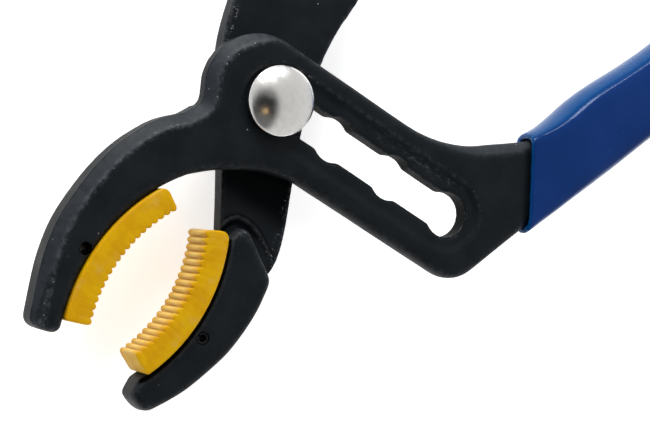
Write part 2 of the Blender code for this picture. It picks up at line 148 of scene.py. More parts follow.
def write_points(mesh, points):
    mesh.vertices.foreach_set("co", (points * MM).ravel())
    mesh.update()


def read_normals(mesh):
    flat = np.empty(len(mesh.vertices) * 3)
    mesh.vertex_normals.foreach_get("vector", flat)
    return flat.reshape(-1, 3)


class Neighbours:
    """Averages over the points that share an edge."""

    def __init__(self, mesh):
        flat = np.empty(len(mesh.edges) * 2, dtype=np.int64)
        mesh.edges.foreach_get("vertices", flat)
        self.near, self.far = flat.reshape(-1, 2).T
        self.count = len(mesh.vertices)
        self.degree = np.bincount(flat, minlength=self.count)

    def mean(self, values):
        total = np.bincount(self.near, values[self.far], self.count)
        total += np.bincount(self.far, values[self.near], self.count)
        return total / np.maximum(self.degree, 1)

    def relax(self, points, weight, rounds):
        """Moves each point halfway to its neighbours' mean, as many times as asked."""
        for _ in range(rounds):
            for axis in range(3):
                column = points[:, axis]
                column += 0.5 * weight * (self.mean(column) - column)


def new_object(name, mesh):
    item = bpy.data.objects.new(name, mesh)
    bpy.context.scene.collection.objects.link(item)
    return item


def evaluated(item):
    """The object's mesh with its modifiers applied; the object is removed."""
    graph = bpy.context.evaluated_depsgraph_get()
    mesh = bpy.data.meshes.new_from_object(item.evaluated_get(graph))
    bpy.data.objects.remove(item)
    return mesh


def copied(node, cut=None):
    """A welded copy of a CAD node's mesh, closed where it is cut off past a line (x, y, angle)."""
    shape = bmesh.new()
    shape.from_mesh(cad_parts[node].data)
    bmesh.ops.remove_doubles(shape, verts=shape.verts, dist=WELD)
    if cut:
        x, y, angle = cut
        outwards = Vector((math.cos(math.radians(angle)), math.sin(math.radians(angle)), 0))
        everything = shape.verts[:] + shape.edges[:] + shape.faces[:]
        bmesh.ops.bisect_plane(
            shape, geom=everything, plane_co=(x * MM, y * MM, 0), plane_no=outwards, clear_outer=True
        )
        bmesh.ops.holes_fill(shape, edges=[edge for edge in shape.edges if edge.is_boundary], sides=0)
    mesh = bpy.data.meshes.new(node)
    shape.to_mesh(mesh)
    shape.free()
    return mesh


def remeshed(mesh, voxel):
    item = new_object("remesh", mesh)
    modifier = item.modifiers.new("voxels", "REMESH")
    modifier.mode = "VOXEL"
    modifier.voxel_size = voxel * MM
    return evaluated(item)


def add_attribute(mesh, name, values):
    mesh.attributes.new(name, "FLOAT", "POINT").data.foreach_set("value", values.astype(np.float32))


def mark_wear(mesh, neighbours, points, voxel, share=1.0):
    """Stores how strongly each place bulges, from 0 on flat or hollow places to a share on tight edges."""
    normals = read_normals(mesh)
    bulge = np.zeros(len(points))
    for axis in range(3):
        bulge += (points[:, axis] - neighbours.mean(points[:, axis])) * normals[:, axis]
    curvature = 4 * bulge / voxel ** 2
    for _ in range(4):
        curvature = neighbours.mean(curvature)
    add_attribute(mesh, "wear", share * smoothstep(0.12, 0.7, curvature))


def wavy(points, normals, size, height):
    """Slow unevenness of a forged or dipped surface."""
    swell = np.array([noise.noise(Vector(point / size)) for point in points])
    return points + normals * (height * swell)[:, None]


def piece(name, mesh, body, slot, *nodes):
    item = new_object(name, mesh)
    mesh.shade_smooth()
    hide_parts(*nodes)
    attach(item, body)
    return item


def sweep(name, profile_at, start=0, end=360, steps=96, place=(0, 0)):
    """A closed profile of (radius, height) points, which may change with the angle, swept about an axis."""
    whole = end - start == 360
    shape = bmesh.new()
    rows = []
    for step in range(steps if whole else steps + 1):
        angle = start + (end - start) * step / steps
        row = []
        for radius, height in profile_at(angle):
            x, y = on_circle(place, radius, angle)
            row.append(shape.verts.new((x * MM, y * MM, height * MM)))
        rows.append(row)
    pairs = list(zip(rows, rows[1:]))
    if whole:
        pairs.append((rows[-1], rows[0]))
    for before, after in pairs:
        for index in range(len(before)):
            nearer = index - 1
            shape.faces.new((before[nearer], before[index], after[index], after[nearer]))
    if not whole:
        shape.faces.new(rows[0])
        shape.faces.new(reversed(rows[-1]))
    bmesh.ops.remove_doubles(shape, verts=shape.verts, dist=WELD)
    bmesh.ops.dissolve_degenerate(shape, edges=shape.edges, dist=WELD / 2)
    bmesh.ops.recalc_face_normals(shape, faces=shape.faces)
    mesh = bpy.data.meshes.new(name)
    shape.to_mesh(mesh)
    shape.free()
    return mesh


DRILL_REACH = 50


def drilled(mesh, place, radius):
    """The mesh with a round hole through it along Z."""
    outline = [(0, -DRILL_REACH), (radius, -DRILL_REACH), (radius, DRILL_REACH), (0, DRILL_REACH)]
    drill = new_object("drill", sweep("drill", lambda angle: outline, steps=32, place=place))
    item = new_object("drilled", mesh)
    modifier = item.modifiers.new("hole", "BOOLEAN")
    modifier.operation = "DIFFERENCE"
    modifier.object = drill
    result = evaluated(item)
    bpy.data.objects.remove(drill)
    return result


def rounded(corners, radius, steps=3):
    """A closed profile with each of its corners rounded."""
    points = []
    for index, corner in enumerate(corners):
        corner = Vector(corner)
        before = (Vector(corners[index - 1]) - corner).normalized()
        after = (Vector(corners[(index + 1) % len(corners)]) - corner).normalized()
        for step in range(steps + 1):
            share = step / steps
            first = corner + before * radius * (1 - share)
            last = corner + after * radius * share
            points.append(first + (last - first) * share)
    return [tuple(point) for point in points]


# ---------------------------------------------------------------- levers

LEVER_VOXEL = 0.34
STUB = 9.0
GROOVE_HALF = 2.7
PLUG_RADIUS = 1.6
PLUG_INSET = 0.35
DRILL_RADIUS = 1.42
DRILL_WALL = 0.1
FORGED_SWELL = (7.0, 0.05)


def past_mouth(mouth, distance):
    """The line (x, y, outward angle) that is parallel to a grip's mouth and lies inside the grip."""
    angle = mouth[2] + 90
    return (*on_circle(mouth[:2], distance, angle), angle)


def plugged(mesh, side, top):
    """Fills a pin's hole above and below the groove, so that it can be drilled afresh after smoothing."""
    insert = side + "_jaw_insert"
    middle = (low(insert) + high(insert)) / 2
    bottom = low(side + "_insert_pin") - GAP
    shape = bmesh.new()
    shape.from_mesh(mesh)
    lower = (bottom + PLUG_INSET, middle - GROOVE_HALF)
    upper = (middle + GROOVE_HALF, top - PLUG_INSET)
    for start, end in (lower, upper):
        outline = [(0, start), (PLUG_RADIUS, start), (PLUG_RADIUS, end), (0, end)]
        shape.from_mesh(sweep("plug", lambda angle: outline, steps=32, place=JAWS[side].pin))
    shape.to_mesh(mesh)
    shape.free()
    return mesh


def pin_hole(mesh, place):
    """Drills a pin's hole through a lever and blackens its wall with painted shade."""
    mesh = drilled(mesh, place, DRILL_RADIUS)
    points = read_points(mesh)
    wall = to_place(points, place) < DRILL_RADIUS + DRILL_WALL
    # Painted shade: the hole's wall is stored as full shade, with no wear and no painted sheen.
    for name, value in (("painted_shade", 1.0), ("wear", 0.0), ("painted_sheen", 0.0)):
        stored = mesh.attributes[name].data
        values = np.empty(len(points), dtype=np.float32)
        stored.foreach_get("value", values)
        stored.foreach_set("value", np.where(wall, np.float32(value), values))
    return mesh


def facing_up(normals):
    return smoothstep(0.3, 0.8, normals[:, 2])


# Where the front jaw begins along Y, and how far from its centre there is nothing but its outer wall.
JAW_ROOT = -22
JAW_OUTSIDE = 49.5

# From the slot's middle line, where an effect on the front lever starts and where it is full.
SOFT_RIMS = (8.0, 9.5)
SHEEN_FROM_SLOT = (8.0, 9.0)
TRACK = (9.2, 7.0)
SLOT_SHADE = (7.5, 6.0)

# From the front jaw's centre, where its softened part starts and is full; and the height above which the
# arm's rims are soft.
FRONT_SEAT_EDGE = (46.0, 47.5)
SOFT_ABOVE = 12.5

# The washer's track: its depth, and what it gains between two places along Y.
TRACK_DEPTH = 0.42
TRACK_GAIN = 0.4
TRACK_SLOPE = (-6, 4)

# Along Y, where the painted sheen on the jaw's slope gains strength towards the hub.
HUB_SHEEN = (-12, -2)

# The rubbed line beside the slot: its place along Y, its half width, and its two ends along X.
RUB_LINE = 7.2
RUB_WIDTH = 1.1
RUB_START = (20, 26)
RUB_END = (54, 46)

# The rim that slopes down from the front face: the band of wall below the face that it follows, how far
# below the face it reaches, its least width, what it gains on walls that face -X, and its steepness.
RIM_BAND = (4.5, 1.7)
RIM_REACH = 3.2
RIM_WIDTH = 1.1
RIM_GAIN = 1.5
RIM_STEEPNESS = 0.9


def chamfer(points, normals, rims):
    """Slopes the front face down to the outer walls, more where a wall faces the jaws' outer side."""
    upper = (points[:, 2] > FRONT_FACE - RIM_BAND[0]) & (points[:, 2] < FRONT_FACE - RIM_BAND[1])
    by_slot = to_segment(points, *SLOT_LINE) < SOFT_RIMS[0]
    walls = np.flatnonzero(upper & ~by_slot & (np.abs(normals[:, 2]) < 0.5) & rims)
    tree = kdtree.KDTree(len(walls))
    for index, (x, y, _) in zip(walls, points[walls]):
        tree.insert((x, y, 0), index)
    tree.balance()
    for index in np.flatnonzero((normals[:, 2] > 0.1) & (points[:, 2] > FRONT_FACE - RIM_REACH)):
        x, y, height = points[index]
        _, wall, distance = tree.find((x, y, 0))
        width = RIM_WIDTH + RIM_GAIN * float(smoothstep(0.1, 0.8, -normals[wall, 0]))
        if distance < width:
            points[index, 2] = min(height, FRONT_FACE - (width - distance) * RIM_STEEPNESS)


def sheen_and_walls(points, normals, outside, slot):
    """Painted sheen: a lighter grey on the slope above the front lever's outer walls where it faces -X,
    towards the light, and on those walls; and where those walls are.
    """
    tilt = normals[:, 2]
    wall = smoothstep(0.5, 0.2, tilt)
    near_face = points[:, 2] > FRONT_FACE - RIM_REACH
    slope = smoothstep(0.2, 0.5, tilt) * smoothstep(0.96, 0.86, tilt) * near_face
    sideways = -normals[:, 0] / np.maximum(np.hypot(normals[:, 0], normals[:, 1]), 0.01)
    on_slope = (0.8 + 0.2 * smoothstep(*HUB_SHEEN, points[:, 1])) * smoothstep(0.0, 0.5, sideways)
    places = (outside | (points[:, 1] > JAW_ROOT)) * smoothstep(*SHEEN_FROM_SLOT, slot)
    return places * (0.3 * wall + on_slope * slope), places * wall


def make_front_lever():
    """The forging: soft outer rims, a crisper slot, and the shallow track that the pivot's washer runs in."""
    coarse = copied("front_lever", past_mouth(FRONT_MOUTH, STUB))
    mesh = remeshed(plugged(coarse, "front", FRONT_FACE), LEVER_VOXEL)
    neighbours = Neighbours(mesh)
    points = read_points(mesh)
    everywhere = np.ones(len(points))
    neighbours.relax(points, everywhere, rounds=4)
    write_points(mesh, points)
    slot = to_segment(points, *SLOT_LINE)
    seat = to_place(points, JAWS["front"].centre)
    past_root = points[:, 1] > JAW_ROOT
    outer_rims = smoothstep(*SOFT_RIMS, slot) * np.maximum(smoothstep(*FRONT_SEAT_EDGE, seat), past_root)
    outside = seat > JAW_OUTSIDE
    chamfer(points, read_normals(mesh), outside | past_root)
    neighbours.relax(points, everywhere, rounds=3)
    neighbours.relax(points, outer_rims * (points[:, 2] > SOFT_ABOVE) * (points[:, 0] > 0), rounds=30)
    write_points(mesh, points)
    normals = read_normals(mesh)
    facing = facing_up(normals) * smoothstep(FRONT_FACE - 3, FRONT_FACE - 2, points[:, 2])
    depth = TRACK_DEPTH + TRACK_GAIN * smoothstep(*TRACK_SLOPE, points[:, 1])
    points[:, 2] -= depth * smoothstep(*TRACK, slot) * facing
    points = wavy(points, normals, *FORGED_SWELL)
    write_points(mesh, points)
    mark_wear(mesh, neighbours, points, LEVER_VOXEL)
    rub = hump(points[:, 1], RUB_LINE, RUB_WIDTH) * smoothstep(*RUB_START, points[:, 0])
    add_attribute(mesh, "rub", rub * smoothstep(*RUB_END, points[:, 0]) * facing)
    painted_sheen, wall = sheen_and_walls(points, normals, outside, slot)
    # Painted shade: the slot's walls below the face are darkened, and the outer walls get half as much.
    add_attribute(mesh, "painted_shade", np.maximum(smoothstep(*SLOT_SHADE, slot) * (1 - facing), 0.5 * wall))
    # Painted sheen on the slope and walls that face the light.
    add_attribute(mesh, "painted_sheen", painted_sheen)
    add_attribute(mesh, "chips", np.zeros(len(points)))
    mesh = pin_hole(mesh, JAWS["front"].pin)
    return piece("front_lever_forging", mesh, FRONT, "black_steel", "front_lever")


RIDGE = [
    (4.6, -29.8), (4.9, -28.6), (5.6, -27.2), (7.1, -25.8), (9.4, -25.4), (11.5, -25.6),
    (13.7, -26.3), (15.4, -27.2), (17.3, -28.4), (19.2, -29.7), (20.6, -30.8),
]
RIDGE_CENTRE = (9.5, -37.5)
RIDGE_HEIGHT = 0.3
RIDGE_SHIFT = 0.5
RIDGE_SIDE = (0.5, 0.15)

# The hollow inside the ridge: its depth, its two sides measured from the ridge, and its end along X.
HOLLOW_DEPTH = 0.6
HOLLOW_START = (0.3, 0.9)
HOLLOW_STOP = (3.0, 1.8)
HOLLOW_END = (17, 10)

# How near the milled face's height a point is that belongs to it, and one that keeps the edge crisp.
LAP_REACH = 0.8
CRISP_REACH = 0.6

# The edges that have chips, and how far in from them the chips lie.
NECK_EDGE = [(15.4, -13.1), (19.6, -24.2), (20.9, -31.3), (20.5, -35.0)]
ARM_EDGE = [(-17.6, 33.0), (-19.4, 24.0), (-18.7, 15.5), (-15.5, 4.5)]
CHIPS_FROM_EDGE = 1.3

# The gap behind the rear insert, darkened with painted shade: where it ends, from the jaw's centre, and its
# depth. The steel next
# to it stays crisp, and is softened from farther out.
SEAT_GAP_END = 42.05
SEAT_GAP_DEPTH = 1.8
REAR_SEAT_EDGE = (43.5, 45.0)

# Along Y, where the rear jaw's softened part and the arm's start and are full, where the neck's shade
# starts and stops, and where the jaw's raised face ends.
SOFT_JAW = (-22, -28)
SOFT_ARM = (18, 24)
NECK_SHADE_START = (-26, -19)
NECK_SHADE_END = (0, -8)
JAW_FACE_END = -30


def from_ridge(points):
    """Distance outwards from the raised line round the jaw's foot, negative on the foot's side."""
    turns = [math.atan2(y - RIDGE_CENTRE[1], x - RIDGE_CENTRE[0]) for x, y in reversed(RIDGE)]
    reaches = [math.dist(point, RIDGE_CENTRE) for point in reversed(RIDGE)]
    offsets = points[:, :2] - np.array(RIDGE_CENTRE)
    reach = np.interp(np.arctan2(offsets[:, 1], offsets[:, 0]), turns, reaches)
    away = np.hypot(offsets[:, 0], offsets[:, 1]) - reach
    return np.sign(away) * np.minimum(np.abs(away), to_path(points, RIDGE))


def make_rear_lever():
    """The forging, with the raised line and the hollow that the milling left round the jaw's foot."""
    coarse = copied("rear_lever", past_mouth(REAR_MOUTH, STUB))
    mesh = remeshed(plugged(coarse, "rear", high("rear_insert_pin") + GAP), LEVER_VOXEL)
    neighbours = Neighbours(mesh)
    points = read_points(mesh)
    neighbours.relax(points, np.ones(len(points)), rounds=5)
    seat = to_place(points, JAWS["rear"].centre)
    off_seat = smoothstep(*REAR_SEAT_EDGE, seat)
    jaw = smoothstep(*SOFT_JAW, points[:, 1]) * off_seat
    arm = smoothstep(*SOFT_ARM, points[:, 1])
    off_lap = np.abs(points[:, 2] - REAR_FACE) > CRISP_REACH
    neighbours.relax(points, np.maximum(jaw, arm) * off_lap, rounds=30)
    write_points(mesh, points)
    normals = read_normals(mesh)
    lap = smoothstep(0.6, 0.9, normals[:, 2]) * (np.abs(points[:, 2] - REAR_FACE) < LAP_REACH)
    away = from_ridge(points) + RIDGE_SHIFT
    band = smoothstep(*RIDGE_SIDE, np.abs(away))
    hollow = smoothstep(*HOLLOW_START, -away) * smoothstep(*HOLLOW_STOP, -away)
    hollow *= smoothstep(*HOLLOW_END, points[:, 0])
    points[:, 2] += lap * (RIDGE_HEIGHT * band - HOLLOW_DEPTH * hollow)
    on_jaw = facing_up(normals) * (points[:, 1] < JAW_FACE_END) * (points[:, 2] > REAR_FACE + 2)
    gap = on_jaw * smoothstep(SEAT_GAP_END + 0.15, SEAT_GAP_END - 0.15, seat)
    points[:, 2] -= SEAT_GAP_DEPTH * gap
    points = wavy(points, normals, *FORGED_SWELL)
    write_points(mesh, points)
    calm = 0.7 * np.maximum(1 - off_seat, lap * smoothstep(1.4, 0.9, np.abs(away)))
    mark_wear(mesh, neighbours, points, LEVER_VOXEL, 1 - calm)
    add_attribute(mesh, "rub", np.zeros(len(points)))
    # Painted shade: the shadow line outside the ridge, the lap under the front arm, the ridge's hollow and
    # the seat's gap are darkened.
    outline = smoothstep(0.5, 0.75, away) * smoothstep(1.3, 0.9, away)
    shaded = smoothstep(*NECK_SHADE_START, points[:, 1]) * smoothstep(*NECK_SHADE_END, points[:, 1])
    dark_gap = on_jaw * smoothstep(SEAT_GAP_END + 0.35, SEAT_GAP_END + 0.15, seat)
    dark_line = 0.8 * np.maximum(hollow, outline)
    add_attribute(mesh, "painted_shade", np.maximum(lap * np.maximum(shaded, dark_line), dark_gap))
    # Painted sheen on the arm's walls, and a painted highlight along the jaw's lip beside the seat's gap.
    lit_lip = on_jaw * hump(seat, SEAT_GAP_END + 0.55, 0.3)
    add_attribute(mesh, "painted_sheen", np.maximum(arm * smoothstep(0.7, 0.3, normals[:, 2]), 0.5 * lit_lip))
    edges = np.minimum(to_path(points, NECK_EDGE), to_path(points, ARM_EDGE))
    chips = hump(edges, CHIPS_FROM_EDGE, 0.45) * (normals[:, 2] > 0.2)
    on_ridge = band * lap * smoothstep(12.5, 14.0, points[:, 0])
    add_attribute(mesh, "chips", np.maximum(chips, 0.55 * on_ridge))
    mesh = pin_hole(mesh, JAWS["rear"].pin)
    return piece("rear_lever_forging", mesh, REAR, "black_steel", "rear_lever")


# ---------------------------------------------------------------- grips

GRIP_VOXEL = 0.42
DIPPED_SWELL = (14.0, 0.16)
# Past the mouth, where the softer part starts and is full.
LIP = (1.5, 5.0)


def make_grip(side, body, mouth):
    """A dipped sleeve: its corners flow past the lip, and its surface swells a little where the dip ran."""
    mesh = remeshed(copied(side + "_grip"), GRIP_VOXEL)
    neighbours = Neighbours(mesh)
    points = read_points(mesh)
    angle = math.radians(mouth[2] + 90)
    inwards = (points[:, 0] - mouth[0]) * math.cos(angle) + (points[:, 1] - mouth[1]) * math.sin(angle)
    neighbours.relax(points, np.ones(len(points)), rounds=3)
    neighbours.relax(points, smoothstep(*LIP, inwards), rounds=30)
    write_points(mesh, points)
    points = wavy(points, read_normals(mesh), *DIPPED_SWELL)
    write_points(mesh, points)
    return piece(side + "_grip_sleeve", mesh, body, "blue_vinyl", side + "_grip")


# ---------------------------------------------------------------- inserts

TOOTH_DEPTH = 0.62
STEPS_PER_TOOTH = 14
TOOTHED_LEVELS = 6

# How much closer each insert lies to its seat than in the CAD part.
SNUG = {"front": 0.2, "rear": 0.0}

# Radii of an insert's corners: at the back of its two ends, all over its ends, and along its edges.
THROAT_CORNER = 2.0
TIP_CORNER = 0.7
END_CORNER = 0.5
LONG_CORNER = 0.55

# The tongue behind an insert: half its thickness, its reach into the groove, and how many degrees it stops
# short of each end of the insert.
TONGUE_HALF = 2.3
TONGUE_DEPTH = 5.6
TONGUE_SHORT = 7.0


def tooth_crest(share):
    """Height along the row of teeth, from 0 in the valleys to 1 on the crests."""
    return np.abs(np.sin(math.pi * share * TOOTH_COUNT)) ** 0.8


def drawn_in(distance, radius):
    """How far an outline with a rounded corner is drawn in at a distance from its end."""
    if distance >= radius:
        return 0.0
    return radius - math.sqrt(max(0.0, radius ** 2 - (radius - distance) ** 2))


def make_insert(side, body, throat_end):
    """A toothed ring sector, swept along its arc; throat_end is 1 or -1, the end with the large corner."""
    jaw = JAWS[side]
    node = side + "_jaw_insert"
    bottom, top = low(node), high(node)
    start = jaw.middle - jaw.half_span

    def profile(angle):
        share = (angle - start) / (2 * jaw.half_span)
        from_start = share * INSERT_LENGTH
        from_end = INSERT_LENGTH - from_start
        from_throat, from_tip = (from_end, from_start) if throat_end > 0 else (from_start, from_end)
        end = drawn_in(min(from_start, from_end), END_CORNER)
        outer = jaw.radius + SNUG[side]
        outer -= drawn_in(from_throat, THROAT_CORNER) + drawn_in(from_tip, TIP_CORNER)
        inner = jaw.radius - INSERT_DEPTH + TOOTH_DEPTH * (1 - tooth_crest(share)) + end
        lower, upper = bottom + end, top - end
        outline = rounded([(inner, lower), (outer, lower), (outer, upper), (inner, upper)], LONG_CORNER, 4)
        last, first = outline[-1], outline[0]
        for level in range(1, TOOTHED_LEVELS):
            outline.append((inner, last[1] + (first[1] - last[1]) * level / TOOTHED_LEVELS))
        return outline

    steps = TOOTH_COUNT * STEPS_PER_TOOTH
    mesh = sweep(node, profile, start, start + 2 * jaw.half_span, steps, jaw.centre)
    mark_teeth(mesh, jaw, bottom, top)
    add_tongue(mesh, jaw, (bottom + top) / 2)
    return piece(side + "_insert_teeth", mesh, body, "yellow_nylon", node)


def mark_teeth(mesh, jaw, bottom, top):
    """Stores where the teeth are, which face the jaw's centre, and where the valleys between them are."""
    points, normals = read_points(mesh), read_normals(mesh)
    along = np.degrees(np.arctan2(points[:, 1] - jaw.centre[1], points[:, 0] - jaw.centre[0]))
    share = (along - jaw.middle + jaw.half_span) % 360 / (2 * jaw.half_span)
    radius = to_place(points, jaw.centre)
    from_tips = radius - (jaw.radius - INSERT_DEPTH)
    inwards = -((points[:, :2] - jaw.centre) * normals[:, :2]).sum(axis=1) / radius
    toothed = smoothstep(0.75, 0.45, np.abs(normals[:, 2])) * smoothstep(0.15, 0.45, inwards)
    toothed *= smoothstep(1.6, 1.1, from_tips)
    toothed *= smoothstep(1.0, 4.2, np.minimum(top - points[:, 2], points[:, 2] - bottom))
    add_attribute(mesh, "valley", (1 - tooth_crest(share)) * toothed)
    add_attribute(mesh, "teeth", toothed)


def add_tongue(mesh, jaw, middle):
    """Adds the narrow plate behind an insert that sits in the jaw's groove."""
    inner, outer = jaw.radius - 1, jaw.radius + TONGUE_DEPTH
    lower, upper = middle - TONGUE_HALF, middle + TONGUE_HALF
    outline = rounded([(inner, lower), (outer, lower), (outer, upper), (inner, upper)], 0.4)
    half_span = jaw.half_span - TONGUE_SHORT
    ends = (jaw.middle - half_span, jaw.middle + half_span)
    plate = sweep("tongue", lambda angle: outline, *ends, 48, jaw.centre)
    plate = drilled(plate, jaw.pin, PIN_RADIUS + TIGHT_GAP)
    shape = bmesh.new()
    shape.from_mesh(mesh)
    shape.from_mesh(plate)
    shape.to_mesh(mesh)
    shape.free()


# ---------------------------------------------------------------- pins and fasteners

# The degrees that a roll pin's wall goes round; the slit takes the rest, on its -X side.
PIN_ARC = (196, 524)
PIN_CHAMFER = 0.2


def make_roll_pin(side, body):
    """A rolled spring pin with a slit and chamfered ends."""
    node = side + "_insert_pin"
    bottom, top = low(node), high(node)
    corners = [(PIN_BORE, bottom), (PIN_RADIUS, bottom), (PIN_RADIUS, top), (PIN_BORE, top)]
    outline = rounded(corners, PIN_CHAMFER)
    mesh = sweep(node, lambda angle: outline, *PIN_ARC, 48, JAWS[side].pin)
    return piece(side + "_roll_pin", mesh, body, "pin_steel", node)


# The bolt: its head's rim under the dome, then how that is rounded and chamfered, the thread, and its end.
HEAD_RIM = 0.7
HEAD_ROUND = 0.4
HEAD_CHAMFER = 0.25
DOME_INSET = 0.35
DOME_STEPS = 26
ROUND_STEPS = 5
ROUND_START = 65
THREAD_DEPTH = 0.55
THREAD_FLANK = 0.45
THREAD_CREST = 0.2
THREAD_ENDS = 0.6
END_INSET = 0.5
END_CHAMFER = 0.35


def bolt_head(radius, bottom, top):
    """The head's outline from the middle of the dome to its lower edge."""
    rim = bottom + HEAD_RIM
    dome = top - rim
    ball = (radius ** 2 + dome ** 2) / 2 / dome
    outline = [(0, top)]
    for step in range(1, DOME_STEPS + 1):
        reach = (radius - DOME_INSET) * step / DOME_STEPS
        outline.append((reach, top - ball + math.sqrt(ball ** 2 - reach ** 2)))
    for step in range(1, ROUND_STEPS + 1):
        angle = ROUND_START * (1 - step / ROUND_STEPS)
        outline.append(on_circle((radius - HEAD_ROUND, rim - HEAD_CHAMFER), HEAD_ROUND, angle))
    return outline + [(radius, bottom + HEAD_CHAMFER), (radius - HEAD_CHAMFER, bottom)]


def bolt_thread(bottom, top):
    """The ridges' outline, from the top down."""
    root = THREAD_RADIUS - THREAD_DEPTH
    outline = []
    for turn in range(int((top - bottom - THREAD_ENDS) / THREAD_PITCH)):
        height = top - THREAD_ENDS / 2 - turn * THREAD_PITCH
        outline.append((root, height))
        outline.append((THREAD_RADIUS, height - THREAD_FLANK))
        outline.append((THREAD_RADIUS, height - THREAD_FLANK - THREAD_CREST))
        outline.append((root, height - 2 * THREAD_FLANK - THREAD_CREST))
    return outline


def make_bolt():
    """Domed head with a rounded rim, double-D shank and a cut thread."""
    bottom, top = low("pivot_bolt"), high("pivot_bolt")
    head_radius = (high("pivot_bolt", 0) - low("pivot_bolt", 0)) / 2
    head_low = high("spring_washer") + GAP
    thread_top = REAR_BACK + GAP
    head = bolt_head(head_radius, head_low, top)
    thread = bolt_thread(bottom, thread_top)
    end_radius = THREAD_RADIUS - END_INSET
    end = [(end_radius, bottom + END_CHAMFER), (end_radius - END_CHAMFER, bottom), (0, bottom)]

    def profile(angle):
        across = max(abs(math.sin(math.radians(angle))), 0.01)
        shank = min(SHANK_RADIUS, SHANK_FLATS / 2 / across)
        return head + [(shank, head_low), (shank, thread_top)] + thread + end

    mesh = sweep("pivot_bolt", profile, steps=144)
    return piece("pivot_bolt_turned", mesh, REAR, "nickel_plate", "pivot_bolt")


# The flat round of the nut's ends as a share of its width, its chamfer in degrees, and its countersink.
NUT_FACE = 0.96
NUT_CHAMFER = 30
NUT_SINK = 0.45


def make_nut():
    """A hexagon nut with both faces chamfered and a countersunk bore."""
    bottom, top = low("pivot_nut"), high("pivot_nut")
    half_width = (high("pivot_nut", 1) - low("pivot_nut", 1)) / 2
    face = half_width * NUT_FACE
    bore = THREAD_RADIUS + TIGHT_GAP
    sunk = bore + NUT_SINK

    def profile(angle):
        corner = half_width / math.cos(math.radians(angle % 60 - 30))
        slope = (corner - face) * math.tan(math.radians(NUT_CHAMFER))
        return [
            (sunk, bottom), (face, bottom), (corner, bottom + slope), (corner, top - slope),
            (face, top), (sunk, top), (bore, top - NUT_SINK), (bore, bottom + NUT_SINK),
        ]

    mesh = sweep("pivot_nut", profile, steps=144)
    return piece("pivot_nut_hex", mesh, REAR, "nickel_plate", "pivot_nut")


SPRING_DISH = 0.25


def make_spring_washer():
    """A dished ring whose outer edge is lower than its bore."""
    bottom, top = low("spring_washer"), high("spring_washer")
    inner = SHANK_RADIUS + GAP
    outer = (high("spring_washer", 0) - low("spring_washer", 0)) / 2
    corners = [(inner, bottom), (outer, bottom - SPRING_DISH), (outer, top - SPRING_DISH), (inner, top)]
    outline = rounded(corners, 0.25)
    mesh = sweep("spring_washer", lambda angle: outline, steps=96)
    return piece("spring_washer_dished", mesh, CARRIAGE, "nickel_plate", "spring_washer")


# Half of the split in degrees, how much higher one end stands, and the room left for that at top and bottom.
SPLIT = 8
SPLIT_RISE = 0.22
SPLIT_ROOM = 0.12


def make_lock_washer():
    """A split ring whose ends stand apart in height."""
    lower, upper = low("lock_washer") + SPLIT_ROOM, high("lock_washer") - SPLIT_ROOM
    inner, outer = THREAD_RADIUS + GAP, high("lock_washer", 1)
    outline = rounded([(inner, lower), (outer, lower), (outer, upper), (inner, upper)], 0.2)

    def profile(angle):
        rise = SPLIT_RISE * ((angle - SPLIT) / (360 - 2 * SPLIT) - 0.5)
        return [(radius, height + rise) for radius, height in outline]

    mesh = sweep("lock_washer", profile, SPLIT, 360 - SPLIT, 90)
    return piece("lock_washer_split", mesh, REAR, "nickel_plate", "lock_washer")


# ---------------------------------------------------------------- materials

